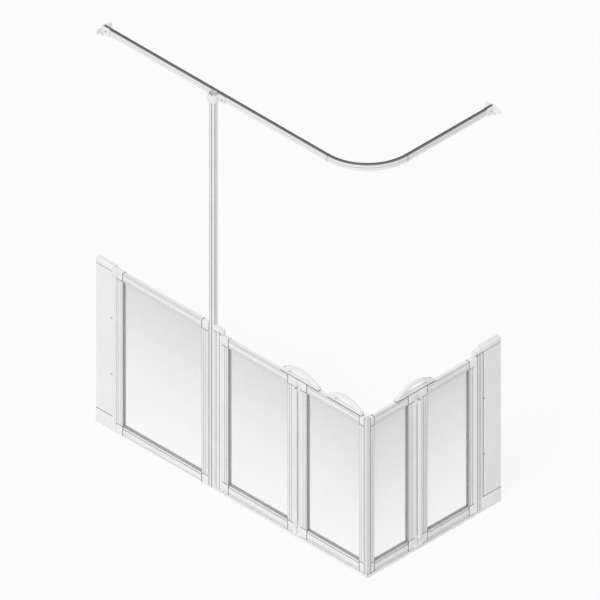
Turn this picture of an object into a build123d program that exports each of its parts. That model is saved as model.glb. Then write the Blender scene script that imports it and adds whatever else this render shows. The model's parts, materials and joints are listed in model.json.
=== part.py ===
"""Half height shower screen: fixed panel, two folding door pairs, floor pole and curtain rail."""
from build123d import *
import os

os.makedirs("parts", exist_ok=True)

# Lengths of the two runs along their outside faces.
run_long = 1708.0
run_short = 840.0

# Fold barrels stand outside the door faces.
fold_offset = 10.0
barrel_r = 9.0
barrel_reach = fold_offset + barrel_r

# Heights above the floor.
sill_h = 11.0
leaf_z0 = 14.0
leaf_z1 = 857.0
panel_z1 = 887.0
post_z1 = 866.0
post_cap_z1 = 890.0
top_rail_h = 44.0
bottom_rail_h = 50.0

# Frame section of every glazed panel.
frame_t = 20.0
frame_mid = frame_t / 2
cap_proud = 1.0
glass_t = 5.0
glass_slack = 0.3
glass_bite = 8.0
groove_w = 1.6
groove_d = 1.0
seal_t = 8.0
seal_z0 = 12.0
seal_z1 = 20.0
shoe_len = 22.0
shoe_out = 7.0
shoe_h = 14.0

# Stations along the long run, from the left wall.
infill_long = 107.0
channel_end = 129.0
channel_base = 3.0
panel_s0 = infill_long + channel_base
panel_glass_0 = 167.0
panel_glass_1 = 667.0
panel_s1 = 704.0
pole_s = 720.0
pole_t = 18.0
left_post_s0 = 736.0
left_hinge_s = 787.0
inner_share_left = 0.520087
left_fold_s = left_hinge_s + (run_long - left_hinge_s) * inner_share_left

# Stations along the short run, from the outer corner.
infill_short = 113.0
right_post_w = 44.0
right_post_s1 = run_short - infill_short
right_hinge_s = right_post_s1 - right_post_w
outer_share_right = 0.465593
right_fold_s = right_hinge_s * outer_share_right

# Leaf lengths from axis to axis, stile widths, and the glass between the stiles.
strip_w = 24.0
left_hinge_stile_w = 44.0
right_hinge_stile_w = 41.0
inner_fold_stile_w = 58.0
outer_fold_stile_w = 59.0
left_free_stile_w = 26.0
right_free_stile_w = 17.0
left_inner_len = left_fold_s - left_hinge_s
left_outer_len = run_long - left_fold_s
right_inner_len = right_hinge_s - right_fold_s
right_outer_len = right_fold_s
left_inner_glass = (left_hinge_stile_w, left_inner_len - inner_fold_stile_w)
left_outer_glass = (outer_fold_stile_w, left_outer_len - strip_w - left_free_stile_w)
right_inner_glass = (right_hinge_stile_w, right_inner_len - inner_fold_stile_w)
right_outer_glass = (outer_fold_stile_w, right_outer_len - strip_w - right_free_stile_w)
fold_gap = 1.5
mitre_gap = 0.6

# Main hinge.
nose_r = 14.0
cove_r = 15.0
horn_back = 12.0
pin_r = 4.0
pin_gap = 0.1
arm_z0 = 870.0
arm_z1 = 884.0
nub_gap = 1.0
top_pin_z0 = 818.0
foot_pin_z1 = 45.0
foot_edge = 2.0

# Fold hinge.
flange_t = 3.0
flange_far = 21.0
flange_near = 11.0
knuckle_top = 790.0
knuckle_bottom = 80.0
knuckle_gap = 0.5
fold_pin_r = 3.5
fold_bore_gap = 0.1
fold_head_r = 6.0
fold_head_h = 3.0

# Handles.
handle_len = 240.0
handle_mid_len = 214.0
handle_h = 54.0
handle_t = 18.0
handle_base = 10.0
handle_bar = 12.0
handle_lift = 1.0
handle_pin_in = 25.0
handle_pin_back = 83.0
leaf_handle_from_fold = 188.0
arch_in = 42.0
collar_len = 22.0
collar_h = 7.0
collar_t = 19.4
handle_pin_head = 8.0
washer_h = 0.7
washer_r = 7.0

# Wall infills.
infill_t = 30.0
infill_foot_h = 75.0
infill_cap_z0 = 867.0
infill_cap_z1 = 895.0
cover_proud = 2.0
cap_slope = 8.0
screw_r = 4.0
screw_h = 2.0
screw_heights = (305.0, 610.0)

# Sill.
sill_t0 = -5.0
sill_t1 = 25.0
sill_corner_r = 12.0

# Pole.
pole_r = 19.0
pole_bore = 16.5
pole_top = 2140.0
pole_seat_gap = 0.2
pole_groove = 1.4
ring_r = 25.0
pole_head = 4.0
ring_drop = 40.0
lug_len = 60.0
lug_screw_in = 48.0

# Curtain rail.
rail_t = 47.0
rail_w = 16.0
rail_h = 36.0
rail_z1 = pole_top - pole_head
rail_z0 = rail_z1 - rail_h
ring_z0 = rail_z1 - ring_drop
ring_z1 = rail_z1 - pole_head
rail_bend = 247.0
rail_slot_w = 6.0
rail_slot_d = 3.5
rail_line = 1.2

# Wall brackets of the rail.
ear_span = 70.0
ear_w = 27.0
ear_hole_r = 3.2
bracket_t = 6.0
socket_len = 42.0
socket_wall = 4.5
socket_gap = 0.3
web_h = 12.0
web_t = 8.0

# The two runs as work planes: first axis along the run, second axis into the shower.
wall_x = -(run_long + barrel_reach) / 2
corner_x = wall_x + run_long
wall_y = (run_short + barrel_reach) / 2
corner_y = wall_y - run_short
long_run = Plane(origin=(wall_x, corner_y, 0), x_dir=(1, 0, 0), z_dir=(0, 0, 1))
short_run = Plane(origin=(corner_x, corner_y, 0), x_dir=(0, 1, 0), z_dir=(0, 0, 1))


def bar(run, s, t, z, mode=Mode.ADD):
    """Square edged bar between two stations, two depths and two heights."""
    with BuildSketch(run.offset(z[0])) as face:
        with Locations(((s[0] + s[1]) / 2, (t[0] + t[1]) / 2)):
            Rectangle(abs(s[1] - s[0]), abs(t[1] - t[0]))
    extrude(face.sketch, amount=z[1] - z[0], mode=mode)


def rod(run, s, t, r, z, mode=Mode.ADD):
    """Upright rod or bore."""
    with BuildSketch(run.offset(z[0])) as face:
        with Locations((s, t)):
            Circle(r)
    extrude(face.sketch, amount=z[1] - z[0], mode=mode)


def cross(run, s):
    """Plane square to the run at a station, with depth and height as its axes."""
    start = run.from_local_coords(Vector(s, 0, 0))
    return Plane(origin=start, x_dir=run.y_dir, z_dir=run.x_dir)


def side(run, t):
    """Plane of the run's own face at a depth, with station and height as its axes."""
    start = run.from_local_coords(Vector(0, t, 0))
    return Plane(origin=start, x_dir=run.x_dir, z_dir=-run.y_dir)


def line_groove(run, s_mid, z):
    """Shallow line down both faces of an upright."""
    across = (s_mid - groove_w / 2, s_mid + groove_w / 2)
    bar(run, across, (-groove_d, groove_d), z, Mode.SUBTRACT)
    bar(run, across, (frame_t - groove_d, frame_t + groove_d), z, Mode.SUBTRACT)


def rail_groove(run, s, z_mid):
    """Shallow line along both faces of a rail."""
    band = (z_mid - groove_w / 2, z_mid + groove_w / 2)
    bar(run, s, (-groove_d, groove_d), band, Mode.SUBTRACT)
    bar(run, s, (frame_t - groove_d, frame_t + groove_d), band, Mode.SUBTRACT)


def glass_pocket(run, g, z0, z1):
    """Slot the glass edge sits in, open to its full bite on all four sides."""
    deep = glass_bite + glass_slack
    low = min(g) - deep
    high = max(g) + deep
    half = glass_t / 2 + glass_slack
    bottom = z0 + bottom_rail_h - glass_bite
    top = z1 - top_rail_h + deep
    bar(run, (low, high), (frame_mid - half, frame_mid + half), (bottom, top), Mode.SUBTRACT)


def seal_pocket(run, s):
    """Groove for the floor seal under a leaf."""
    half = seal_t / 2 + glass_slack
    bar(run, s, (frame_mid - half, frame_mid + half), (leaf_z0, seal_z1), Mode.SUBTRACT)


def save(piece, label):
    """Name one piece and write its file."""
    piece.part.label = label
    export_step(piece.part, "parts/" + label + ".step")


def glass_pane(label, run, g, z0, z1):
    """Clear pane held on four sides."""
    low = min(g) - glass_bite
    high = max(g) + glass_bite
    depth = (frame_mid - glass_t / 2, frame_mid + glass_t / 2)
    with BuildPart() as pane:
        bar(run, (low, high), depth, (z0 + bottom_rail_h - glass_bite, z1 - top_rail_h + glass_bite))
    save(pane, label)


def rail_pair(label, run, g, z0, z1, seal, pin_s):
    """Top rail and bottom rail of a panel, the bottom one with sloping shoulders."""
    low = min(g)
    high = max(g)
    top_foot = z1 - top_rail_h
    bottom_head = z0 + bottom_rail_h
    with BuildPart() as rails:
        with BuildSketch(cross(run, low)) as top_section:
            with BuildLine():
                Polyline(
                    (0, top_foot), (0, z1 - 2), (2, z1), (frame_t - 2, z1),
                    (frame_t, z1 - 2), (frame_t, top_foot), close=True,
                )
            make_face()
        extrude(top_section.sketch, amount=high - low)
        with BuildSketch(cross(run, low)) as bottom_section:
            with BuildLine():
                Polyline(
                    (0, z0), (0, bottom_head - 12), (5, bottom_head), (frame_t - 5, bottom_head),
                    (frame_t, bottom_head - 12), (frame_t, z0), close=True,
                )
            make_face()
        extrude(bottom_section.sketch, amount=high - low)
        rail_groove(run, (low, high), top_foot + 8)
        rail_groove(run, (low, high), z1 - 10)
        rail_groove(run, (low, high), z0 + 9)
        glass_pocket(run, g, z0, z1)
        if seal:
            seal_pocket(run, (low, high))
        for s in pin_s:
            rod(run, s, frame_mid, pin_r + 0.1, (z1 - 12, z1), Mode.SUBTRACT)
    save(rails, label)


def corner_block(run, s, z):
    """Moulded cover over one corner of a panel."""
    with BuildSketch(side(run, frame_t + cap_proud)) as face:
        with Locations(((s[0] + s[1]) / 2, (z[0] + z[1]) / 2)):
            Rectangle(abs(s[1] - s[0]), z[1] - z[0])
    extrude(face.sketch, amount=frame_t + 2 * cap_proud)


# Wall side of the long run: infill, its cover cap and its foot.
def wall_infill(side_name, run, s_wall, s_in):
    low = min(s_wall, s_in)
    high = max(s_wall, s_in)
    with BuildPart() as infill:
        bar(run, (low, high), (0, infill_t), (infill_foot_h, infill_cap_z0))
        inner = (low + 6, high - 6)
        bar(run, inner, (6, infill_t - 6), (infill_foot_h, infill_cap_z0), Mode.SUBTRACT)
    save(infill, side_name + "_wall_infill")
    with BuildPart() as cap:
        with BuildSketch(cross(run, low)) as section:
            with BuildLine():
                Polyline(
                    (-cover_proud, infill_cap_z0), (-cover_proud, infill_cap_z1 - cap_slope),
                    (cap_slope - cover_proud, infill_cap_z1),
                    (infill_t + cover_proud - cap_slope, infill_cap_z1),
                    (infill_t + cover_proud, infill_cap_z1 - cap_slope),
                    (infill_t + cover_proud, infill_cap_z0), close=True,
                )
            make_face()
        extrude(section.sketch, amount=high - low)
    save(cap, side_name + "_wall_cap")
    with BuildPart() as foot:
        bar(run, (low, high), (-cover_proud, infill_t + cover_proud), (0, infill_foot_h))
        top_rim = foot.edges().filter_by(Plane.XY).group_by(Axis.Z)[-1]
        chamfer(top_rim.filter_by(lambda e: abs(e.length - (high - low)) < 0.1), length=1.5)
    save(foot, side_name + "_wall_foot")


wall_infill("left", long_run, 0, infill_long)
wall_infill("right", short_run, run_short, right_post_s1)

with BuildPart() as infill_screws:
    for height in screw_heights:
        for run, s in ((long_run, infill_long - 8), (short_run, right_post_s1 + 8)):
            with BuildSketch(side(run, 0)) as head:
                with Locations((s, height)):
                    Circle(screw_r)
            extrude(head.sketch, amount=screw_h)
            with BuildSketch(side(run, 0)) as slot:
                with Locations((s, height)):
                    Rectangle(screw_r * 1.2, 1)
                    Rectangle(1, screw_r * 1.2)
            cut = extrude(slot.sketch, amount=screw_h, mode=Mode.PRIVATE)
            add(cut.moved(Location(run.y_dir * -1.0)), mode=Mode.SUBTRACT)
save(infill_screws, "infill_screws")

# Upright channel that takes the fixed panel's wall edge.
with BuildPart() as wall_channel:
    bar(long_run, (infill_long, channel_end), (-4, frame_t + 4), (0, panel_z1))
    gap = (panel_s0, channel_end)
    bar(long_run, gap, (-cap_proud - 0.3, frame_t + cap_proud + 0.3), (0, panel_z1), Mode.SUBTRACT)
save(wall_channel, "wall_channel")

# Fixed panel.
panel_glass_span = (panel_glass_0, panel_glass_1)
panel_stile_z = (bottom_rail_h, panel_z1 - top_rail_h)
with BuildPart() as panel_wall_stile:
    bar(long_run, (panel_s0, panel_glass_0), (0, frame_t), panel_stile_z)
    line_groove(long_run, panel_glass_0 - 10, panel_stile_z)
    line_groove(long_run, panel_glass_0 - 28, panel_stile_z)
    glass_pocket(long_run, panel_glass_span, 0, panel_z1)
save(panel_wall_stile, "panel_wall_stile")

with BuildPart() as panel_post_stile:
    bar(long_run, (panel_glass_1, panel_s1), (0, frame_t), panel_stile_z)
    line_groove(long_run, panel_glass_1 + 9, panel_stile_z)
    line_groove(long_run, panel_glass_1 + 22, panel_stile_z)
    glass_pocket(long_run, panel_glass_span, 0, panel_z1)
    rod(long_run, pole_s, pole_t, pole_r + pole_seat_gap, panel_stile_z, Mode.SUBTRACT)
save(panel_post_stile, "panel_post_stile")

rail_pair("panel_rails", long_run, panel_glass_span, 0, panel_z1, False, ())
glass_pane("panel_glass", long_run, panel_glass_span, 0, panel_z1)

with BuildPart() as panel_corner_caps:
    for span in ((panel_s0, panel_glass_0), (panel_glass_1, panel_s1)):
        corner_block(long_run, span, (0, bottom_rail_h))
        corner_block(long_run, span, (panel_z1 - top_rail_h, panel_z1))
    glass_pocket(long_run, panel_glass_span, 0, panel_z1)
    rod(long_run, pole_s, pole_t, pole_r + pole_seat_gap, (0, panel_z1), Mode.SUBTRACT)
save(panel_corner_caps, "panel_corner_caps")


# Posts, their caps with pivot arms, and the pivot feet.
def hinge_post(side_name, run, hinge_s, way, post_s):
    end = hinge_s - way * horn_back
    with BuildPart() as post:
        bar(run, (post_s, end), (0, frame_t), (sill_h, post_z1))
        rod(run, hinge_s, frame_mid, cove_r, (sill_h, post_z1), Mode.SUBTRACT)
        line_groove(run, post_s + way * 14, (sill_h, post_z1))
        line_groove(run, post_s + way * 22, (sill_h, post_z1))
        if side_name == "left":
            rod(run, pole_s, pole_t, pole_r + pole_seat_gap, (sill_h, post_z1), Mode.SUBTRACT)
    save(post, side_name + "_hinge_post")
    with BuildPart() as cap:
        bar(run, (post_s, end), (-cap_proud, frame_t + cap_proud), (post_z1, post_cap_z1))
        edge = cap.edges().filter_by(Plane.XY).group_by(Axis.Z)[-1]
        chamfer(edge, length=3)
        arm = (arm_z0, arm_z1)
        bar(run, (end - way * 2, hinge_s), (frame_mid - nose_r + 3, frame_mid + nose_r - 3), arm)
        rod(run, hinge_s, frame_mid, nose_r - 1, arm)
        with BuildSketch(run.offset(leaf_z1 + nub_gap)) as nub_low:
            with Locations((hinge_s, frame_mid)):
                Circle(6)
        with BuildSketch(run.offset(arm_z0)) as nub_high:
            with Locations((hinge_s, frame_mid)):
                Circle(10)
        loft([nub_low.sketch.face(), nub_high.sketch.face()])
        rod(run, hinge_s, frame_mid, pin_r, (top_pin_z0, arm_z0))
        if side_name == "left":
            rod(run, pole_s, pole_t, pole_r + pole_seat_gap, (post_z1, post_cap_z1), Mode.SUBTRACT)
    save(cap, side_name + "_post_cap")
    with BuildPart() as foot:
        edge_t = (-foot_edge, frame_t + foot_edge)
        bar(run, (post_s, hinge_s + way * nose_r), edge_t, (0, sill_h))
        rod(run, hinge_s, frame_mid, pin_r + 3, (sill_h, leaf_z0 - nub_gap))
        rod(run, hinge_s, frame_mid, pin_r, (sill_h, foot_pin_z1))
        if side_name == "left":
            rod(run, pole_s, pole_t, pole_r + pole_seat_gap, (0, sill_h), Mode.SUBTRACT)
    save(foot, side_name + "_pivot_foot")


hinge_post("left", long_run, left_hinge_s, 1, left_post_s0)
hinge_post("right", short_run, right_hinge_s, -1, right_post_s1)


# Door leaves hung on the posts, ending in the long fold barrel.
def inner_leaf(side_name, run, hinge_s, way, length, g):
    glass = (hinge_s + way * g[0], hinge_s + way * g[1])
    end = hinge_s + way * (length - fold_gap)
    fold_s = hinge_s + way * length
    upright = (leaf_z0 + bottom_rail_h, leaf_z1 - top_rail_h)
    barrel_z = (knuckle_bottom, knuckle_top)
    name = side_name + "_inner_"
    with BuildPart() as hinge_stile:
        bar(run, (hinge_s, glass[0]), (0, frame_t), upright)
        rod(run, hinge_s, frame_mid, nose_r, upright)
        line_groove(run, hinge_s + way * 22, upright)
        line_groove(run, hinge_s + way * 34, upright)
        glass_pocket(run, glass, leaf_z0, leaf_z1)
    save(hinge_stile, name + "hinge_stile")
    with BuildPart() as fold_stile:
        bar(run, (glass[1], end), (0, frame_t), upright)
        far = fold_s - way * flange_far
        near = fold_s - way * flange_near
        bar(run, (far, near), (-flange_t, 0), upright)
        bar(run, (near, end), (-flange_t, 0), barrel_z)
        rod(run, fold_s, -fold_offset, barrel_r, barrel_z)
        rod(run, fold_s, -fold_offset, fold_pin_r + fold_bore_gap, barrel_z, Mode.SUBTRACT)
        line_groove(run, glass[1] + way * 9, upright)
        line_groove(run, glass[1] + way * 22, upright)
        glass_pocket(run, glass, leaf_z0, leaf_z1)
    save(fold_stile, name + "fold_stile")
    with BuildPart() as caps:
        for span in ((hinge_s, glass[0]), (glass[1], end)):
            corner_block(run, span, (leaf_z0, upright[0]))
            corner_block(run, span, (upright[1], leaf_z1))
        rod(run, hinge_s, frame_mid, nose_r, (leaf_z0, upright[0]))
        rod(run, hinge_s, frame_mid, nose_r, (upright[1], leaf_z1))
        rod(run, hinge_s, frame_mid, pin_r + pin_gap, (leaf_z0, foot_pin_z1 + 2), Mode.SUBTRACT)
        rod(run, hinge_s, frame_mid, pin_r + pin_gap, (top_pin_z0 - 2, leaf_z1), Mode.SUBTRACT)
        glass_pocket(run, glass, leaf_z0, leaf_z1)
        seal_pocket(run, (hinge_s + way * 20, end))
        bar(run, (end - way * shoe_len, end), (-shoe_out, -cap_proud), (leaf_z0, leaf_z0 + shoe_h))
    save(caps, name + "corner_caps")
    with BuildPart() as seal:
        bar(run, (hinge_s + way * 20, end), (frame_mid - 4, frame_mid + 4), (seal_z0, seal_z1))
    save(seal, name + "floor_seal")
    foot_s = fold_s - way * handle_pin_back
    rail_pair(name + "rails", run, glass, leaf_z0, leaf_z1, True, (foot_s,))
    glass_pane(name + "glass", run, glass, leaf_z0, leaf_z1)
    return foot_s


# Door leaves hung on the folds, ending in the mitred magnet strip.
def outer_leaf(side_name, run, fold_s, way, length, g):
    glass = (fold_s + way * g[0], fold_s + way * g[1])
    start = fold_s + way * fold_gap
    strip_s = fold_s + way * (length - strip_w)
    upright = (leaf_z0 + bottom_rail_h, leaf_z1 - top_rail_h)
    name = side_name + "_outer_"
    knuckles = (
        (upright[0], knuckle_bottom - knuckle_gap),
        (knuckle_top + knuckle_gap, upright[1]),
    )
    with BuildPart() as fold_stile:
        bar(run, (start, glass[0]), (0, frame_t), upright)
        far = fold_s + way * flange_far
        near = fold_s + way * flange_near
        bar(run, (far, near), (-flange_t, 0), upright)
        for z in knuckles:
            bar(run, (near, start), (-flange_t, 0), z)
            rod(run, fold_s, -fold_offset, barrel_r, z)
            rod(run, fold_s, -fold_offset, fold_pin_r + 0.1, z, Mode.SUBTRACT)
        line_groove(run, glass[0] - way * 9, upright)
        line_groove(run, glass[0] - way * 22, upright)
        glass_pocket(run, glass, leaf_z0, leaf_z1)
    save(fold_stile, name + "fold_stile")
    with BuildPart() as free_stile:
        bar(run, (glass[1], strip_s), (0, frame_t), upright)
        line_groove(run, glass[1] + way * 11, upright)
        glass_pocket(run, glass, leaf_z0, leaf_z1)
    save(free_stile, name + "free_stile")
    with BuildPart() as caps:
        for span in ((start, glass[0]), (glass[1], strip_s)):
            corner_block(run, span, (leaf_z0, upright[0]))
            corner_block(run, span, (upright[1], leaf_z1))
        glass_pocket(run, glass, leaf_z0, leaf_z1)
        seal_pocket(run, (start, strip_s))
        bar(run, (start, start + way * shoe_len), (-shoe_out, -cap_proud), (leaf_z0, leaf_z0 + shoe_h))
    save(caps, name + "corner_caps")
    with BuildPart() as seal:
        bar(run, (start, strip_s), (frame_mid - 4, frame_mid + 4), (seal_z0, seal_z1))
    save(seal, name + "floor_seal")
    with BuildPart() as strip:
        tip = fold_s + way * (length - mitre_gap)
        heel = fold_s + way * (length - frame_t - mitre_gap)
        with BuildSketch(run.offset(leaf_z0)) as outline:
            with BuildLine():
                Polyline((strip_s, 0), (tip, 0), (heel, frame_t), (strip_s, frame_t), close=True)
            make_face()
        extrude(outline.sketch, amount=leaf_z1 - leaf_z0)
        line_groove(run, strip_s + way * 2.5, (leaf_z0, leaf_z1))
    save(strip, name + "magnet_strip")
    with BuildPart() as pin:
        rod(run, fold_s, -fold_offset, fold_pin_r, (upright[0], upright[1]))
        rod(run, fold_s, -fold_offset, fold_head_r, (upright[1], upright[1] + fold_head_h))
        rod(run, fold_s, -fold_offset, fold_head_r, (upright[0] - fold_head_h, upright[0]))
    save(pin, side_name + "_fold_pin")
    rail_pair(name + "rails", run, glass, leaf_z0, leaf_z1, True, ())
    glass_pane(name + "glass", run, glass, leaf_z0, leaf_z1)


left_foot_s = inner_leaf("left", long_run, left_hinge_s, 1, left_inner_len, left_inner_glass)
outer_leaf("left", long_run, left_fold_s, 1, left_outer_len, left_outer_glass)
right_foot_s = inner_leaf("right", short_run, right_hinge_s, -1, right_inner_len, right_inner_glass)
outer_leaf("right", short_run, right_fold_s, -1, right_outer_len, right_outer_glass)


# Closed loop handles standing on the top rails.
def handle(label, run, pin_s, way, length, base_z, pinned):
    start = pin_s - way * handle_pin_in
    mid = start + way * length / 2
    end = start + way * length
    back = frame_mid + handle_t / 2
    with BuildPart() as loop:
        with BuildSketch(side(run, back)) as outline:
            with BuildLine():
                ThreePointArc(
                    (start, base_z + handle_base), (mid, base_z + handle_h),
                    (end, base_z + handle_base),
                )
                Polyline(
                    (end, base_z + handle_base), (end, base_z),
                    (start, base_z), (start, base_z + handle_base),
                )
            make_face()
            with BuildLine():
                ThreePointArc(
                    (start + way * arch_in, base_z + handle_base), (mid, base_z + handle_h - handle_bar),
                    (end - way * arch_in, base_z + handle_base),
                )
                Line(
                    (end - way * arch_in, base_z + handle_base), (start + way * arch_in, base_z + handle_base),
                )
            make_face(mode=Mode.SUBTRACT)
        extrude(outline.sketch, amount=handle_t)
        crown = loop.edges().filter_by(GeomType.CIRCLE).sort_by(SortBy.LENGTH)[-2:]
        chamfer(crown, length=2.5)
        if pinned:
            rod(run, pin_s, frame_mid, handle_pin_head + 0.6, (base_z + handle_base, base_z + handle_h),
                Mode.SUBTRACT)
            rod(run, pin_s, frame_mid, pin_r + pin_gap, (base_z, base_z + handle_h), Mode.SUBTRACT)
        collar_s = (end - way * collar_len, end - way * 2)
        collar_z = (base_z + handle_base - 3, base_z + handle_base + collar_h)
        bar(run, collar_s, (frame_mid - collar_t / 2, frame_mid + collar_t / 2), collar_z)
    save(loop, label)
    if pinned:
        with BuildPart() as pin:
            rod(run, pin_s, frame_mid, pin_r, (leaf_z1 - 12, base_z + handle_base + 1))
            rod(run, pin_s, frame_mid, washer_r, (leaf_z1, leaf_z1 + washer_h))
            head_z = base_z + handle_base + 0.4
            rod(run, pin_s, frame_mid, handle_pin_head, (head_z, head_z + 4))
        save(pin, label + "_pin")


handle("left_fold_handle", long_run, left_foot_s, 1, handle_len, leaf_z1 + handle_lift, True)
handle("right_fold_handle", short_run, right_foot_s, -1, handle_len, leaf_z1 + handle_lift, True)
leaf_foot_s = left_fold_s + leaf_handle_from_fold + handle_pin_in
handle("leaf_handle", long_run, leaf_foot_s, 1, handle_mid_len, leaf_z1, False)

# Sill under both doors, with a rounded outer corner.
sill_z = (0, sill_h)
with BuildPart() as door_sill:
    bar(long_run, (left_hinge_s + nose_r, run_long - sill_t0), (sill_t0, sill_t1), sill_z)
    bar(short_run, (sill_t0, right_hinge_s - nose_r), (sill_t0, sill_t1), sill_z)
    corner_edge = door_sill.edges().filter_by(Axis.Z).sort_by(Axis.X)[-2:].sort_by(Axis.Y)[0]
    fillet(corner_edge, radius=sill_corner_r)
    chamfer(door_sill.faces().sort_by(Axis.Z)[-1].outer_wire().edges(), length=3)
save(door_sill, "door_sill")

# Pole from the floor to the rail, with long grooves down its skin.
with BuildPart() as pole:
    with BuildSketch(long_run) as tube:
        with Locations((pole_s, pole_t)):
            Circle(pole_r)
            Circle(pole_bore, mode=Mode.SUBTRACT)
            with PolarLocations(pole_r, 8, start_angle=22.5):
                Circle(pole_groove, mode=Mode.SUBTRACT)
    extrude(tube.sketch, amount=pole_top)
save(pole, "pole")

# Curtain rail: straight, quarter bend, straight, with a hook slot along its top.
rail_y = corner_y + rail_t
rail_x = corner_x - rail_t
with BuildPart() as curtain_rail:
    with BuildLine() as rail_path:
        start = (wall_x + bracket_t, rail_y, rail_z0)
        bend_in = (rail_x - rail_bend, rail_y, rail_z0)
        bend_out = (rail_x, rail_y + rail_bend, rail_z0)
        Line(start, bend_in)
        bend_mid_x = rail_x - rail_bend + rail_bend * 0.70710678
        bend_mid_y = rail_y + rail_bend - rail_bend * 0.70710678
        ThreePointArc(bend_in, (bend_mid_x, bend_mid_y, rail_z0), bend_out)
        Line(bend_out, (rail_x, wall_y - bracket_t, rail_z0))
    with BuildSketch(Plane(origin=start, x_dir=(0, 1, 0), z_dir=(1, 0, 0))) as rail_section:
        with Locations((0, rail_h / 2)):
            rail_edge = Rectangle(rail_w, rail_h)
        chamfer(rail_edge.vertices(), length=1.5)
        with Locations((0, rail_h - rail_slot_d / 2)):
            Rectangle(rail_slot_w, rail_slot_d, mode=Mode.SUBTRACT)
        for face_side in (-1, 1):
            with Locations((face_side * rail_w / 2, rail_h / 2)):
                Rectangle(rail_line * 2, 2, mode=Mode.SUBTRACT)
    sweep(rail_section.sketch, path=rail_path.line)
save(curtain_rail, "curtain_rail")


# Wall brackets that carry the rail ends.
def rail_bracket(label, origin, across, outward):
    plate_plane = Plane(origin=origin, x_dir=across, z_dir=outward)
    socket_w = rail_w + 2 * socket_gap + 2 * socket_wall
    socket_h = rail_z1 - rail_z0 + socket_gap + socket_wall
    with BuildPart() as bracket:
        with BuildSketch(plate_plane) as plate:
            SlotCenterToCenter(ear_span, ear_w)
            with Locations((0, -web_h / 2)):
                Rectangle(socket_w + 8, socket_h + web_h)
            with Locations((-ear_span / 2, 0), (ear_span / 2, 0)):
                Circle(ear_hole_r, mode=Mode.SUBTRACT)
        extrude(plate.sketch, amount=bracket_t)
        with BuildSketch(plate_plane.offset(bracket_t)) as socket:
            Rectangle(socket_w, socket_h)
            Rectangle(rail_w + 2 * socket_gap, rail_z1 - rail_z0 + 2 * socket_gap, mode=Mode.SUBTRACT)
            with Locations((0, socket_h / 2)):
                Rectangle(rail_w + 2 * socket_gap, socket_h / 2, mode=Mode.SUBTRACT)
        extrude(socket.sketch, amount=socket_len)
        web_plane = Plane(origin=origin, x_dir=outward, z_dir=Vector(*outward).cross(Vector(0, 0, 1)))
        low = -socket_h / 2
        with BuildSketch(web_plane) as web:
            with BuildLine():
                Polyline(
                    (bracket_t, low - web_h), (bracket_t, low + 1),
                    (socket_len, low + 1), (socket_len, low - 2),
                )
                ThreePointArc(
                    (socket_len, low - 2), (bracket_t + 12, low - 4.5), (bracket_t, low - web_h),
                )
            make_face()
        extrude(web.sketch, amount=web_t / 2, both=True)
    save(bracket, label)


rail_mid = (rail_z0 + rail_z1) / 2
rail_bracket("left_rail_bracket", (wall_x, rail_y, rail_mid), (0, 1, 0), (1, 0, 0))
rail_bracket("right_rail_bracket", (rail_x, wall_y, rail_mid), (1, 0, 0), (0, -1, 0))

# Clamp that ties the pole head to the rail.
with BuildPart() as pole_clamp:
    ring_z = (ring_z0, ring_z1)
    rod(long_run, pole_s, pole_t, ring_r, ring_z)
    lug_t = (pole_t + 8, rail_t - rail_w / 2)
    bar(long_run, (pole_s, pole_s + lug_len), lug_t, (ring_z0 + 6, ring_z1))
    rod(long_run, pole_s, pole_t, pole_r + pole_seat_gap, ring_z, Mode.SUBTRACT)
    behind = (rail_t - rail_w / 2, rail_t + rail_w)
    bar(long_run, (pole_s - lug_len, pole_s + lug_len + ring_r), behind, ring_z, Mode.SUBTRACT)
    bar(long_run, (pole_s - ring_r - 6, pole_s - pole_r), (pole_t - 9, pole_t - 2), ring_z)
    bar(long_run, (pole_s - ring_r - 6, pole_s - pole_r), (pole_t + 2, pole_t + 9), ring_z)
    bar(long_run, (pole_s - ring_r - 8, pole_s - pole_r + 2), (pole_t - 2, pole_t + 2), ring_z, Mode.SUBTRACT)
    rod(long_run, pole_s, pole_t, pole_r + pole_seat_gap, ring_z, Mode.SUBTRACT)
save(pole_clamp, "pole_clamp")

# Screws: one through the clamp lug into the rail, one set screw in each socket.
with BuildPart() as rail_screws:
    with BuildSketch(side(long_run, pole_t + 8)) as lug_screw:
        with Locations((pole_s + lug_screw_in, rail_mid)):
            Circle(screw_r + 1)
    extrude(lug_screw.sketch, amount=screw_h + 1)
    with BuildSketch(side(long_run, rail_t - rail_w / 2 - socket_gap - socket_wall)) as set_left:
        with Locations((bracket_t + 20, rail_mid)):
            Circle(screw_r)
    extrude(set_left.sketch, amount=screw_h)
    with BuildSketch(side(short_run, rail_t - rail_w / 2 - socket_gap - socket_wall)) as set_right:
        with Locations((run_short - bracket_t - 20, rail_mid)):
            Circle(screw_r)
    extrude(set_right.sketch, amount=screw_h)
save(rail_screws, "rail_screws")
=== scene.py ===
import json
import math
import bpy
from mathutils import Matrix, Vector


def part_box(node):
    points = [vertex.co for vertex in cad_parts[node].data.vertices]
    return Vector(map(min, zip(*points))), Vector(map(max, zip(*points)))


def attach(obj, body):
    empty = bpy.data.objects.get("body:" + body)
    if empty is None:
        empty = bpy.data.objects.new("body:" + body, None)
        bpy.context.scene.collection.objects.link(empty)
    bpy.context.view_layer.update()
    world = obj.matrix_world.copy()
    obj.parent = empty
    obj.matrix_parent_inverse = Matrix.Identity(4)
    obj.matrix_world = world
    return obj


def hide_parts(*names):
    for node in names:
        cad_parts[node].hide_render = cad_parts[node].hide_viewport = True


bl_info = {
    "name": "Half Height Shower Screen",
    "version": (1, 0, 0),
    "blender": (4, 5, 0),
    "location": "View3D > Sidebar > Shower Screen",
    "description": "Dresses a half height shower screen with folding doors, pole and curtain rail",
    "category": "Object",
}

import bpy
from mathutils import Matrix, Vector

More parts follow.
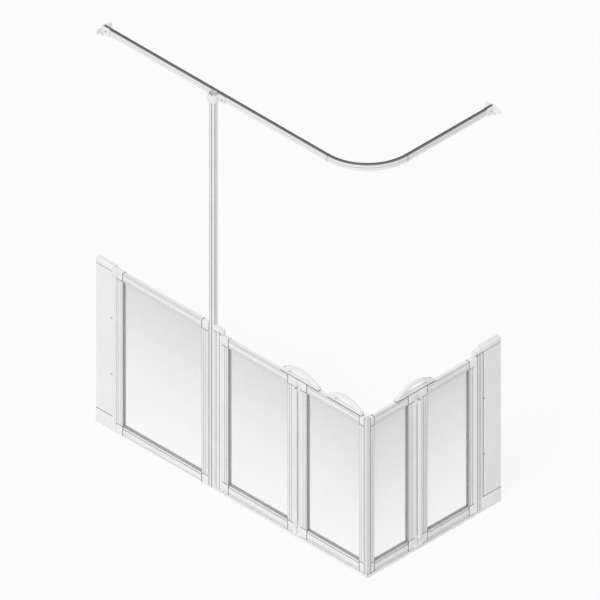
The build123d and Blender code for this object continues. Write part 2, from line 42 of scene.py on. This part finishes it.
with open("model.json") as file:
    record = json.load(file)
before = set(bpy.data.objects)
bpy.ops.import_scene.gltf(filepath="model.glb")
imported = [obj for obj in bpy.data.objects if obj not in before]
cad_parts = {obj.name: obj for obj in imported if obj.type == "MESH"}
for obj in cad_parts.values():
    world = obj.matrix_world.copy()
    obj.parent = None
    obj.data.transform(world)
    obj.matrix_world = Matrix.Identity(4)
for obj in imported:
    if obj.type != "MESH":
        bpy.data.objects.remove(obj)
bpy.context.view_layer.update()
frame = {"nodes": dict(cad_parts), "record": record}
slot_of = {part["node"]: part["material_slot"] for part in frame["record"]["subparts"]}
body_of = {
    node: body for body, nodes in frame["record"]["behaviour"]["bodies"].items() for node in nodes
}

handles = ("left_fold_handle", "right_fold_handle", "leaf_handle")
moulded_ends = ("corner_caps", "wall_cap", "wall_foot", "post_cap", "rail_bracket")

# Metres. How far each pane sits in its frame, and how thick and proud the trim is.
pane_bite = 0.008
trim_thick = 0.0016
trim_proud = 0.0007
pad_proud = 0.0005
nose_clear = 0.0145
edge_clear = 0.0005
seam_overlap = 0.0003
post_step = 0.006
post_clear = 0.0004
foot_tolerance = 0.0005
joint_thick = 0.0006
joint_proud = 0.0004

# Metres. The span of height over which the panes' painted shade deepens, and the CAD's grooves
# that are painted dark as shade.
shade_foot = 0.05
shade_head = 0.85
groove_at = 0.0006
groove_reach = 0.00045
rail_wide = 0.016
rail_bend = 0.247
rail_top_at = 0.002
rail_top_reach = 0.0022
rail_mid_reach = 0.0009
flute_radius = 0.0178
flute_reach = 0.0009

# The drawing: its width in pixels, its scale, and where the corner of the doors meets the floor.
picture_width = 600
pixels_per_mm = 0.2247
picture_corner = (367.4, 577.5)
floor_corner = (0.8445, -0.4105, 0)
stand_off = 6


class ScreenSizes(bpy.types.PropertyGroup):
    """Sizes of the trim that is added to the frame."""

    bead_width: bpy.props.FloatProperty(
        name="Bead width", description="Width of the glazing bead round each pane",
        default=0.0026, unit="LENGTH",
    )
    bead_depth: bpy.props.FloatProperty(
        name="Bead depth", description="How far the bead stands on the glass",
        default=0.0071, unit="LENGTH",
    )
    moulded_edge: bpy.props.FloatProperty(
        name="Moulded edge", description="Rounding of the moulded covers",
        default=0.0016, unit="LENGTH",
    )
    grip_edge: bpy.props.FloatProperty(
        name="Grip edge", description="Rounding of the loop handles",
        default=0.0035, unit="LENGTH",
    )
    joint_width: bpy.props.FloatProperty(
        name="Joint width", description="Width of the line at each end of the rail's bend",
        default=0.002, unit="LENGTH",
    )
    # Painted shade: the dark corner seams, wall seals and handle pads stand in for shade along
    # steps and under caps and handles.
    shade_seam_width: bpy.props.FloatProperty(
        name="Shade seam width", description="Width of the seams, wall seals and handle pads",
        default=0.0026, unit="LENGTH",
    )


class ScreenColours(bpy.types.PropertyGroup):
    """Colours of the finishes."""

    frame_white: bpy.props.FloatVectorProperty(
        name="Frame white", description="Powder coated frame", subtype="COLOR",
        default=(0.9, 0.905, 0.905),
    )
    cover_white: bpy.props.FloatVectorProperty(
        name="Cover white", description="Moulded covers and handles", subtype="COLOR",
        default=(0.91, 0.912, 0.912),
    )
    gasket_grey: bpy.props.FloatVectorProperty(
        name="Gasket grey", description="Glazing bead and floor seal", subtype="COLOR",
        default=(0.42, 0.422, 0.425),
    )
    # Pin dark colours the real dark pins, and also the seams, seals and pads, where it is painted
    # shade.
    pin_dark: bpy.props.FloatVectorProperty(
        name="Pin dark", description="Handle pins, seams and pads", subtype="COLOR",
        default=(0.05, 0.05, 0.055),
    )


def let_go():
    """Nothing is selected and no object is being edited."""
    if bpy.context.mode != "OBJECT":
        bpy.ops.object.mode_set(mode="OBJECT")
    bpy.ops.object.select_all(action="DESELECT")


def take(piece):
    """Only this piece is selected."""
    let_go()
    piece.select_set(True)
    bpy.context.view_layer.objects.active = piece


def corners(node):
    """The low and the high corner of a frame piece."""
    return tuple(Vector(corner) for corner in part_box(node))


def joined(parts, name):
    """The parts as one named piece."""
    take(parts[0])
    for part in parts:
        part.select_set(True)
    bpy.ops.object.join()
    piece = bpy.context.object
    piece.name = name
    return piece


def span_above(axes, tree, low, high):
    """A Map Range of the height Z, running from low at the foot to high at the head."""
    span = tree.nodes.new("ShaderNodeMapRange")
    span.inputs["From Min"].default_value = shade_foot
    span.inputs["From Max"].default_value = shade_head
    span.inputs["To Min"].default_value = low
    span.inputs["To Max"].default_value = high
    tree.links.new(axes.outputs["Z"], span.inputs["Value"])
    return span


def directly_seen(tree):
    """One for rays from the camera, a mirror or glass, and nought for bounced light."""
    path = tree.nodes.new("ShaderNodeLightPath")
    last = path.outputs["Is Camera Ray"]
    for kind in ("Is Glossy Ray", "Is Transmission Ray"):
        either = tree.nodes.new("ShaderNodeMath")
        either.operation = "MAXIMUM"
        tree.links.new(last, either.inputs[0])
        tree.links.new(path.outputs[kind], either.inputs[1])
        last = either.outputs[0]
    return last


def group_with(name, inputs, outputs):
    """An empty shader node group with named sockets."""
    tree = bpy.data.node_groups.new(name, "ShaderNodeTree")
    for label, kind, default in inputs:
        socket = tree.interface.new_socket(name=label, in_out="INPUT", socket_type=kind)
        socket.default_value = default
    for label, kind in outputs:
        tree.interface.new_socket(name=label, in_out="OUTPUT", socket_type=kind)
    return tree, tree.nodes.new("NodeGroupInput"), tree.nodes.new("NodeGroupOutput")


def grain_and_groove_shade_group():
    """Fine peel of a sprayed or moulded skin, with faint cloudy wear, and painted shade mixed in
    dark wherever the groove mask is set.
    """
    if "Coat Grain" in bpy.data.node_groups:
        return bpy.data.node_groups["Coat Grain"]
    tree, start, end = group_with(
        "Coat Grain",
        [
            ("Colour", "NodeSocketColor", (0.8, 0.8, 0.8, 1)),
            ("Peel Scale", "NodeSocketFloat", 700.0),
            ("Cloud Strength", "NodeSocketFloat", 0.03),
            ("Roughness", "NodeSocketFloat", 0.4),
            ("Groove Shade Mask", "NodeSocketFloat", 0.0),
            ("Groove Shade Colour", "NodeSocketColor", (0.05, 0.052, 0.055, 1)),
        ],
        [
            ("Colour", "NodeSocketColor"),
            ("Roughness", "NodeSocketFloat"),
            ("Height", "NodeSocketFloat"),
        ],
    )
    place = tree.nodes.new("ShaderNodeTexCoord")
    peel = tree.nodes.new("ShaderNodeTexNoise")
    peel.inputs["Detail"].default_value = 3
    cloud = tree.nodes.new("ShaderNodeTexNoise")
    cloud.inputs["Scale"].default_value = 7
    cloud.inputs["Detail"].default_value = 5
    tree.links.new(place.outputs["Object"], peel.inputs["Vector"])
    tree.links.new(place.outputs["Object"], cloud.inputs["Vector"])
    tree.links.new(start.outputs["Peel Scale"], peel.inputs["Scale"])
    darker = tree.nodes.new("ShaderNodeMix")
    darker.data_type = "RGBA"
    darker.blend_type = "MULTIPLY"
    grey = tree.nodes.new("ShaderNodeMapRange")
    grey.inputs["From Min"].default_value = 0.3
    grey.inputs["From Max"].default_value = 0.7
    grey.inputs["To Min"].default_value = 0.9
    tree.links.new(cloud.outputs["Fac"], grey.inputs["Value"])
    tree.links.new(start.outputs["Cloud Strength"], darker.inputs["Factor"])
    tree.links.new(start.outputs["Colour"], darker.inputs["A"])
    tree.links.new(grey.outputs["Result"], darker.inputs["B"])
    rough = tree.nodes.new("ShaderNodeMath")
    rough.operation = "MULTIPLY_ADD"
    rough.inputs[1].default_value = 0.12
    tree.links.new(cloud.outputs["Fac"], rough.inputs[0])
    tree.links.new(start.outputs["Roughness"], rough.inputs[2])
    # Painted shade: where the groove mask is set, the colour is mixed to the dark shade colour of
    # the grooves.
    shadow = tree.nodes.new("ShaderNodeMix")
    shadow.data_type = "RGBA"
    tree.links.new(start.outputs["Groove Shade Colour"], shadow.inputs["B"])
    tree.links.new(start.outputs["Groove Shade Mask"], shadow.inputs["Factor"])
    tree.links.new(darker.outputs["Result"], shadow.inputs["A"])
    tree.links.new(shadow.outputs["Result"], end.inputs["Colour"])
    tree.links.new(rough.outputs["Value"], end.inputs["Roughness"])
    tree.links.new(peel.outputs["Fac"], end.inputs["Height"])
    return tree


def groove_shade_group(name, shaded_grooves):
    """Masks bands at places along X, Y or Z, each with its own reach, where painted shade lies in
    the extruded grooves.
    """
    tree, start, end = group_with(name, [], [("Mask", "NodeSocketFloat")])
    place = tree.nodes.new("ShaderNodeTexCoord")
    axes = tree.nodes.new("ShaderNodeSeparateXYZ")
    tree.links.new(place.outputs["Object"], axes.inputs["Vector"])
    last = None
    for axis, where, reach in shaded_grooves:
        band = tree.nodes.new("ShaderNodeMath")
        band.operation = "COMPARE"
        band.inputs[1].default_value = where
        band.inputs[2].default_value = reach
        tree.links.new(axes.outputs[axis], band.inputs[0])
        if last is None:
            last = band
            continue
        both = tree.nodes.new("ShaderNodeMath")
        both.operation = "MAXIMUM"
        tree.links.new(last.outputs[0], both.inputs[0])
        tree.links.new(band.outputs[0], both.inputs[1])
        last = both
    tree.links.new(last.outputs[0], end.inputs["Mask"])
    return tree


def flute_shade_group(name, centre, radius, reach):
    """Masks the floors of the long flutes in the pole by their distance from its axis, where
    painted shade lies in the flutes.
    """
    tree, start, end = group_with(name, [], [("Mask", "NodeSocketFloat")])
    place = tree.nodes.new("ShaderNodeTexCoord")
    shift = tree.nodes.new("ShaderNodeMapping")
    shift.inputs["Location"].default_value = (-centre[0], -centre[1], 0)
    flat = tree.nodes.new("ShaderNodeVectorMath")
    flat.operation = "MULTIPLY"
    flat.inputs[1].default_value = (1, 1, 0)
    far = tree.nodes.new("ShaderNodeVectorMath")
    far.operation = "LENGTH"
    band = tree.nodes.new("ShaderNodeMath")
    band.operation = "COMPARE"
    band.inputs[1].default_value = radius
    band.inputs[2].default_value = reach
    tree.links.new(place.outputs["Object"], shift.inputs["Vector"])
    tree.links.new(shift.outputs["Vector"], flat.inputs[0])
    tree.links.new(flat.outputs["Vector"], far.inputs[0])
    tree.links.new(far.outputs["Value"], band.inputs[0])
    tree.links.new(band.outputs[0], end.inputs["Mask"])
    return tree


def coated(
    name, colour, peel, roughness, bump, metal=0.0, coat=0.0, cloud=0.5, shaded_grooves=None,
    groove_shade_grey=0.05,
):
    """A solid finish: its colour and roughness come through the coat grain group, which paints
    shade dark into any grooves its mask is given.
    """
    finish = bpy.data.materials.new(name)
    finish.use_nodes = True
    tree = finish.node_tree
    shader = tree.nodes["Principled BSDF"]
    grain_and_shade = tree.nodes.new("ShaderNodeGroup")
    grain_and_shade.node_tree = grain_and_groove_shade_group()
    grain_and_shade.inputs["Colour"].default_value = (*colour, 1)
    grain_and_shade.inputs["Peel Scale"].default_value = peel
    grain_and_shade.inputs["Cloud Strength"].default_value = cloud
    grain_and_shade.inputs["Roughness"].default_value = roughness
    # Painted shade: the grooves in the given mask are mixed to a dark grey.
    if shaded_grooves is not None:
        groove_shade_mask = tree.nodes.new("ShaderNodeGroup")
        groove_shade_mask.node_tree = shaded_grooves
        tree.links.new(groove_shade_mask.outputs["Mask"], grain_and_shade.inputs["Groove Shade Mask"])
        grain_and_shade.inputs["Groove Shade Colour"].default_value = (groove_shade_grey, groove_shade_grey, groove_shade_grey, 1)
    relief = tree.nodes.new("ShaderNodeBump")
    relief.inputs["Strength"].default_value = bump
    relief.inputs["Distance"].default_value = 0.0002
    tree.links.new(grain_and_shade.outputs["Colour"], shader.inputs["Base Color"])
    tree.links.new(grain_and_shade.outputs["Roughness"], shader.inputs["Roughness"])
    tree.links.new(grain_and_shade.outputs["Height"], relief.inputs["Height"])
    tree.links.new(relief.outputs["Normal"], shader.inputs["Normal"])
    shader.inputs["Metallic"].default_value = metal
    shader.inputs["Coat Weight"].default_value = coat
    return finish


def glass_with_painted_shade():
    """Clear glazing with painted shade: its grey deepens softly from the foot of the pane to its
    head, and it grows less clear towards the head.
    """
    finish = bpy.data.materials.new("Pale Glass")
    finish.use_nodes = True
    tree = finish.node_tree
    shader = tree.nodes["Principled BSDF"]
    place = tree.nodes.new("ShaderNodeTexCoord")
    axes = tree.nodes.new("ShaderNodeSeparateXYZ")
    height = span_above(axes, tree, 0, 1)
    # Painted shade: the pane's grey deepens from its foot to its head.
    shade = tree.nodes.new("ShaderNodeValToRGB")
    shade.color_ramp.elements[0].color = (0.99, 0.99, 0.985, 1)
    shade.color_ramp.elements[1].color = (0.66, 0.66, 0.65, 1)
    tree.links.new(place.outputs["Object"], axes.inputs["Vector"])
    tree.links.new(height.outputs["Result"], shade.inputs["Fac"])
    tree.links.new(shade.outputs["Color"], shader.inputs["Base Color"])
    shader.inputs["Roughness"].default_value = 0.05
    # Painted shade too: the pane grows less clear towards its head.
    veil = span_above(axes, tree, 0.1, 0.42)
    tree.links.new(veil.outputs["Result"], shader.inputs["Alpha"])
    shader.inputs["IOR"].default_value = 1.45
    return finish


def finish_for(slot):
    """The finish of one of the record's material slots."""
    return bpy.data.materials["Finish " + slot]


class SHOWER_OT_finishes(bpy.types.Operator):
    """Make the finishes and lay them on the frame's own pieces."""

    bl_idname = "shower.finishes"
    bl_label = "Finishes"

    def execute(self, context):
        colours = context.scene.screen_colours
        long_low, long_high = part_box("panel_rails")
        short_low, short_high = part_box("right_outer_rails")
        # Painted shade in the grooves of the frame's rails and stiles.
        frame_groove_shade = groove_shade_group("Frame Groove Shade", (
            ("Y", long_low[1] + groove_at, groove_reach),
            ("Y", long_high[1] - groove_at, groove_reach),
            ("X", short_high[0] - groove_at, groove_reach),
            ("X", short_low[0] + groove_at, groove_reach),
        ))
        rail_low, rail_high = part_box("curtain_rail")
        # Painted shade in the rail's top slot and its middle groove.
        rail_groove_shade = groove_shade_group("Rail Groove Shade", (
            ("Z", rail_high[2] - rail_top_at, rail_top_reach),
            ("Z", (rail_high[2] + rail_low[2]) / 2, rail_mid_reach),
        ))
        made = {
            "white_frame": coated(
                "w", colours.frame_white, 900, 0.38, 0.05, coat=0.1, shaded_grooves=frame_groove_shade,
            ),
            "white_moulding": coated("m", colours.cover_white, 420, 0.3, 0.04, coat=0.25),
            "glass": glass_with_painted_shade(),
            "seal_grey": coated("s", colours.gasket_grey, 600, 0.62, 0.2),
            # The strip takes the same painted shade in its grooves.
            "strip_grey": coated("p", (0.78, 0.785, 0.79), 500, 0.5, 0.05, shaded_grooves=frame_groove_shade),
            "steel": coated("t", (0.55, 0.55, 0.56), 1200, 0.28, 0.1, metal=1.0),
            "pin_dark": coated("d", colours.pin_dark, 700, 0.4, 0.15, coat=0.2),
        }
        for slot, finish in made.items():
            finish.name = "Finish " + slot
        for node, piece in frame["nodes"].items():
            for holder in piece.material_slots:
                holder.material = finish_for(slot_of[node])
        # The rail takes a lighter grey of painted shade in its grooves.
        rail_white = coated(
            "Rail White", colours.frame_white, 900, 0.38, 0.03, coat=0.1, shaded_grooves=rail_groove_shade,
            groove_shade_grey=0.16,
        )
        for holder in frame["nodes"]["curtain_rail"].material_slots:
            holder.material = rail_white
        pole_low, pole_high = corners("pole")
        # Painted shade in the floors of the pole's flutes.
        flute_shade = flute_shade_group(
            "Pole Flute Shade", (pole_low + pole_high) / 2, flute_radius, flute_reach,
        )
        pole_white = coated(
            "Pole White", colours.frame_white, 900, 0.34, 0.03, coat=0.1, shaded_grooves=flute_shade,
        )
        for holder in frame["nodes"]["pole"].material_slots:
            holder.material = pole_white
        return {"FINISHED"}


def rounded_copy(node, width, steps):
    """A copy of a frame piece with its sharp edges rounded, shown in its place."""
    source = frame["nodes"][node]
    piece = bpy.data.objects.new("soft_" + node, source.data.copy())
    bpy.context.scene.collection.objects.link(piece)
    take(piece)
    bpy.ops.object.mode_set(mode="EDIT")
    bpy.ops.mesh.select_all(action="SELECT")
    bpy.ops.mesh.remove_doubles(threshold=0.00001)
    bpy.ops.mesh.dissolve_limited(angle_limit=math.radians(0.6))
    bpy.ops.object.mode_set(mode="OBJECT")
    edge = piece.modifiers.new("Rounded edges", "BEVEL")
    edge.width = width
    edge.segments = steps
    edge.limit_method = "ANGLE"
    edge.angle_limit = math.radians(35)
    bpy.ops.object.modifier_apply(modifier=edge.name)
    bpy.ops.object.shade_smooth_by_angle(angle=math.radians(32))
    finish_piece(piece, slot_of[node], body_of[node])
    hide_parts(node)
    return piece


def finish_piece(piece, slot, body):
    """Give a piece its finish, its slot and the body it rides on."""
    piece.data.materials.clear()
    piece.data.materials.append(finish_for(slot))
    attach(piece, body)


class SHOWER_OT_moulded_covers(bpy.types.Operator):
    """Round the edges of the corner covers, wall covers, post caps, feet and brackets."""

    bl_idname = "shower.moulded_covers"
    bl_label = "Moulded covers"

    def execute(self, context):
        sizes = context.scene.screen_sizes
        for node in sorted(frame["nodes"]):
            if node.endswith(moulded_ends):
                rounded_copy(node, sizes.moulded_edge, 3)
        rounded_copy("pole_clamp", sizes.moulded_edge * 0.6, 2)
        rounded_copy("door_sill", sizes.moulded_edge * 0.6, 2)
        return {"FINISHED"}


class SHOWER_OT_loop_handles(bpy.types.Operator):
    """Round the grips of the three loop handles and the heads of their pins."""

    bl_idname = "shower.loop_handles"
    bl_label = "Loop handles"

    def execute(self, context):
        sizes = context.scene.screen_sizes
        for node in handles:
            rounded_copy(node, sizes.grip_edge, 4)
        for node in ("left_fold_handle_pin", "right_fold_handle_pin"):
            rounded_copy(node, 0.0008, 2)
        return {"FINISHED"}


def square_ring(name, low, high, width, thin):
    """A ring of square section round an opening; thin is the axis through the opening."""
    let_go()
    low, high = Vector(low), Vector(high)
    bpy.ops.mesh.primitive_cube_add(size=1, location=(low + high) / 2, scale=high - low)
    ring = bpy.context.object
    ring.name = name
    bpy.ops.object.transform_apply(location=True, rotation=True, scale=True)
    bpy.ops.object.mode_set(mode="EDIT")
    bpy.ops.mesh.select_mode(type="FACE")
    bpy.ops.object.mode_set(mode="OBJECT")
    for face in ring.data.polygons:
        face.select = abs(face.normal[thin]) > 0.9
    bpy.ops.object.mode_set(mode="EDIT")
    bpy.ops.mesh.inset(thickness=width, use_individual=True)
    bpy.ops.mesh.delete(type="FACE")
    bpy.ops.mesh.select_mode(type="EDGE")
    bpy.ops.mesh.select_all(action="DESELECT")
    bpy.ops.mesh.select_non_manifold()
    bpy.ops.mesh.bridge_edge_loops()
    bpy.ops.mesh.select_all(action="SELECT")
    bpy.ops.mesh.normals_make_consistent(inside=False)
    bpy.ops.object.mode_set(mode="OBJECT")
    return ring


class SHOWER_OT_glazing_beads(bpy.types.Operator):
    """Lay a thin gasket bead round both faces of every pane."""

    bl_idname = "shower.glazing_beads"
    bl_label = "Glazing beads"

    def execute(self, context):
        sizes = context.scene.screen_sizes
        for node in sorted(frame["nodes"]):
            if not node.endswith("_glass"):
                continue
            low, high = corners(node)
            thin = min((0, 1), key=lambda axis: high[axis] - low[axis])
            wide = 1 - thin
            faces = []
            for side in (-1, 1):
                a = low.copy()
                b = high.copy()
                a[wide] += pane_bite
                b[wide] -= pane_bite
                a[2] += pane_bite
                b[2] -= pane_bite
                if side < 0:
                    b[thin] = low[thin]
                    a[thin] = low[thin] - sizes.bead_depth
                else:
                    a[thin] = high[thin]
                    b[thin] = high[thin] + sizes.bead_depth
                faces.append(square_ring("bead", a, b, sizes.bead_width, thin))
            bead = joined(faces, node.replace("glass", "glazing_bead"))
            soft = bead.modifiers.new("Rounded bead", "BEVEL")
            soft.width = 0.0007
            soft.segments = 2
            bpy.ops.object.modifier_apply(modifier=soft.name)
            bpy.ops.object.shade_smooth_by_angle(angle=math.radians(40))
            finish_piece(bead, "seal_grey", body_of[node])
        return {"FINISHED"}


class SHOWER_OT_corner_seams(bpy.types.Operator):
    """Set a thin dark seam where each corner cover meets its rail and its stile; the joint is
    real, and its dark colour is painted shade at the step of the proud cover.
    """

    bl_idname = "shower.corner_seams"
    bl_label = "Corner seams"

    def execute(self, context):
        seam = context.scene.screen_sizes.shade_seam_width
        for node in sorted(frame["nodes"]):
            if not node.endswith("_glass"):
                continue
            panel = node[: -len("_glass")]
            low, high = corners(node)
            rails_low, rails_high = corners(panel + "_rails")
            caps_low, caps_high = corners(panel + "_corner_caps")
            thin = min((0, 1), key=lambda axis: high[axis] - low[axis])
            wide = 1 - thin
            sill, lintel = low[2] + pane_bite, high[2] - pane_bite
            rings = []
            for at, way, edge in (
                (low[wide] + pane_bite, 1, caps_low[wide]),
                (high[wide] - pane_bite, -1, caps_high[wide]),
            ):
                nosed = (panel, way) in (("left_inner", 1), ("right_inner", -1))
                start = edge + way * (nose_clear if nosed else edge_clear)
                inner = at - way * seam_overlap
                spans = (
                    (rails_low[2], sill, at, at + way * seam, wide),
                    (lintel, rails_high[2], at, at + way * seam, wide),
                    (sill, sill + seam, inner, start, 2),
                    (lintel - seam, lintel, inner, start, 2),
                )
                for foot, head, one, other, axis in spans:
                    a = Vector((0, 0, foot))
                    b = Vector((0, 0, head))
                    a[thin] = rails_low[thin] - trim_proud
                    b[thin] = rails_high[thin] + trim_proud
                    a[wide] = min(one, other)
                    b[wide] = max(one, other)
                    rings.append(square_ring("seam", a, b, trim_thick, axis))
            # Painted shade: dark seams at the step where each cover meets its rail and its stile.
            shade_seams = joined(rings, panel + "_corner_shade_seams")
            finish_piece(shade_seams, "pin_dark", body_of[node])
        return {"FINISHED"}


class SHOWER_OT_handle_pads(bpy.types.Operator):
    """Bed each loop handle on a thin dark pad, painted shade at the handle's foot, so its foot
    reads against the white rail.
    """

    bl_idname = "shower.handle_pads"
    bl_label = "Handle pads"

    def execute(self, context):
        pad = context.scene.screen_sizes.shade_seam_width
        proud = Vector((pad_proud, pad_proud, 0))
        for node in handles:
            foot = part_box(node)[0][2]
            base = [
                corner.co for corner in frame["nodes"][node].data.vertices
                if corner.co.z < foot + foot_tolerance
            ]
            a = Vector((min(co.x for co in base), min(co.y for co in base), foot)) - proud
            b = Vector((max(co.x for co in base), max(co.y for co in base), foot + pad)) + proud
            # Painted shade: a dark band round the foot of the handle.
            ring = square_ring(node + "_shade_pad", a, b, trim_thick, 2)
            finish_piece(ring, "pin_dark", body_of[node])
        return {"FINISHED"}


class SHOWER_OT_wall_seams(bpy.types.Operator):
    """Seal the infills against their caps, feet and channel, and the posts under their caps; the
    seals are real joints drawn dark as painted shade along these steps and under the caps.
    """

    bl_idname = "shower.wall_seams"
    bl_label = "Wall seams"

    def execute(self, context):
        seam = context.scene.screen_sizes.shade_seam_width
        for side, thin in (("left", 1), ("right", 0)):
            wide = 1 - thin
            low, high = corners(side + "_wall_infill")
            rings = []
            for foot, head in ((low.z, low.z + seam), (high.z - seam, high.z)):
                a = Vector((low.x, low.y, foot))
                b = Vector((high.x, high.y, head))
                a[thin] -= trim_proud
                b[thin] += trim_proud
                rings.append(square_ring("seal", a, b, trim_thick, 2))
            a = low.copy()
            b = high.copy()
            a[thin] -= trim_proud
            b[thin] += trim_proud
            if side == "left":
                a[wide] = b[wide] - seam
            else:
                b[wide] = a[wide] + seam
            rings.append(square_ring("seal", a, b, trim_thick, wide))
            low, high = corners(side + "_hinge_post")
            a = Vector((low.x, low.y, high.z - seam))
            b = high.copy()
            a[thin] -= trim_proud
            b[thin] += trim_proud
            if side == "left":
                a[wide] += post_step
            a[wide] += post_clear
            b[wide] -= post_clear
            rings.append(square_ring("seal", a, b, trim_thick, 2))
            # Painted shade: dark seals along the infill's steps and under the post cap.
            shade_seals = joined(rings, side + "_wall_shade_seals")
            finish_piece(shade_seals, "pin_dark", "screen_root")
        return {"FINISHED"}


class SHOWER_OT_rail_joints(bpy.types.Operator):
    """Mark the two joints where the rail's bend meets its straight lengths."""

    bl_idname = "shower.rail_joints"
    bl_label = "Rail joints"

    def execute(self, context):
        sizes = context.scene.screen_sizes
        low, high = corners("curtain_rail")
        bend = rail_bend + rail_wide / 2
        line = sizes.joint_width / 2
        proud = joint_proud
        x = high.x - bend
        y = low.y + bend
        spans = (
            ((x - line, low.y - proud, low.z - proud),
             (x + line, low.y + rail_wide + proud, high.z + proud), 0),
            ((high.x - rail_wide - proud, y - line, low.z - proud),
             (high.x + proud, y + line, high.z + proud), 1),
        )
        for number, (a, b, thin) in enumerate(spans):
            ring = square_ring("rail_joint_%d" % (number + 1), a, b, joint_thick, thin)
            finish_piece(ring, "pin_dark", body_of["curtain_rail"])
        return {"FINISHED"}


class SHOWER_OT_stage(bpy.types.Operator):
    """Lay the floor, light the room and set the camera at the drawing's viewing angle."""

    bl_idname = "shower.stage"
    bl_label = "Stage"

    def execute(self, context):
        let_go()
        bpy.ops.mesh.primitive_plane_add(size=40, location=(0, 0, -0.0005))
        floor = context.object
        floor.name = "floor"
        bpy.ops.object.transform_apply(location=True)
        white = bpy.data.materials.new("Floor White")
        white.use_nodes = True
        tree = white.node_tree
        surface = tree.nodes["Principled BSDF"]
        surface.inputs["Base Color"].default_value = (0.86, 0.86, 0.86, 1)
        surface.inputs["Roughness"].default_value = 0.9
        glow = tree.nodes.new("ShaderNodeEmission")
        glow.inputs["Strength"].default_value = 1
        share = tree.nodes.new("ShaderNodeMath")
        share.operation = "MULTIPLY"
        share.inputs[1].default_value = 0.86
        mix = tree.nodes.new("ShaderNodeMixShader")
        tree.links.new(directly_seen(tree), share.inputs[0])
        tree.links.new(share.outputs[0], mix.inputs[0])
        tree.links.new(surface.outputs[0], mix.inputs[1])
        tree.links.new(glow.outputs[0], mix.inputs[2])
        tree.links.new(mix.outputs[0], tree.nodes["Material Output"].inputs["Surface"])
        floor.data.materials.append(white)

        world = bpy.data.worlds.new("Room")
        context.scene.world = world
        world.use_nodes = True
        room = world.node_tree
        even = room.nodes["Background"]
        even.inputs["Color"].default_value = (1, 1, 1, 1)
        even.inputs["Strength"].default_value = 0.62
        backdrop = room.nodes.new("ShaderNodeBackground")
        backdrop.inputs["Strength"].default_value = 1
        backdrop.inputs["Color"].default_value = (1, 1, 1, 1)
        blend = room.nodes.new("ShaderNodeMixShader")
        room.links.new(directly_seen(room), blend.inputs[0])
        room.links.new(even.outputs[0], blend.inputs[1])
        room.links.new(backdrop.outputs[0], blend.inputs[2])
        room.links.new(blend.outputs[0], room.nodes["World Output"].inputs["Surface"])

        toward = Vector((0.25, -0.75, 0.85)).normalized()
        bpy.ops.object.light_add(type="SUN", location=toward * stand_off)
        lamp = context.object
        lamp.name = "soft_sun"
        lamp.data.energy = 1.15
        lamp.data.angle = math.radians(25)
        lamp.rotation_mode = "QUATERNION"
        lamp.rotation_quaternion = (-toward).to_track_quat("-Z", "Y")

        metres_per_pixel = 1 / pixels_per_mm / 1000
        middle = picture_width / 2
        right = Vector((1, 1, 0)).normalized()
        back = Vector((1, -1, 1)).normalized()
        up = back.cross(right)
        target = Vector(floor_corner)
        target += right * ((middle - picture_corner[0]) * metres_per_pixel)
        target += up * ((picture_corner[1] - middle) * metres_per_pixel)
        bpy.ops.object.camera_add(location=target + back * stand_off)
        camera = context.object
        camera.data.type = "ORTHO"
        camera.data.ortho_scale = picture_width * metres_per_pixel
        camera.data.clip_end = 60
        turn = Matrix((right, up, back)).transposed()
        camera.rotation_mode = "QUATERNION"
        camera.rotation_quaternion = turn.to_quaternion()
        context.scene.camera = camera
        context.scene.view_settings.view_transform = "Standard"
        return {"FINISHED"}


class SHOWER_PT_panel(bpy.types.Panel):
    """Lists the steps that dress the screen."""

    bl_idname = "SHOWER_PT_panel"
    bl_label = "Shower Screen"
    bl_space_type = "VIEW_3D"
    bl_region_type = "UI"
    bl_category = "Shower Screen"

    def draw(self, context):
        for holder in (context.scene.screen_sizes, context.scene.screen_colours):
            for name in holder.bl_rna.properties.keys():
                if name not in ("rna_type", "name"):
                    self.layout.prop(holder, name)
        for step in steps:
            self.layout.operator(step.bl_idname)


steps = (
    SHOWER_OT_stage,
    SHOWER_OT_finishes,
    SHOWER_OT_moulded_covers,
    SHOWER_OT_loop_handles,
    SHOWER_OT_glazing_beads,
    SHOWER_OT_corner_seams,
    SHOWER_OT_handle_pads,
    SHOWER_OT_wall_seams,
    SHOWER_OT_rail_joints,
)
classes = (ScreenSizes, ScreenColours) + steps + (SHOWER_PT_panel,)


def register():
    for each in classes:
        bpy.utils.register_class(each)
    bpy.types.Scene.screen_sizes = bpy.props.PointerProperty(type=ScreenSizes)
    bpy.types.Scene.screen_colours = bpy.props.PointerProperty(type=ScreenColours)


def unregister():
    del bpy.types.Scene.screen_colours
    del bpy.types.Scene.screen_sizes
    for each in reversed(classes):
        bpy.utils.unregister_class(each)


def dress_screen():
    """Run every step in order."""
    register()
    let_go()
    bpy.ops.shower.stage()
    bpy.ops.shower.finishes()
    bpy.ops.shower.moulded_covers()
    bpy.ops.shower.loop_handles()
    bpy.ops.shower.glazing_beads()
    bpy.ops.shower.corner_seams()
    bpy.ops.shower.handle_pads()
    bpy.ops.shower.wall_seams()
    bpy.ops.shower.rail_joints()
    let_go()


if __name__ == "__main__":
    dress_screen()
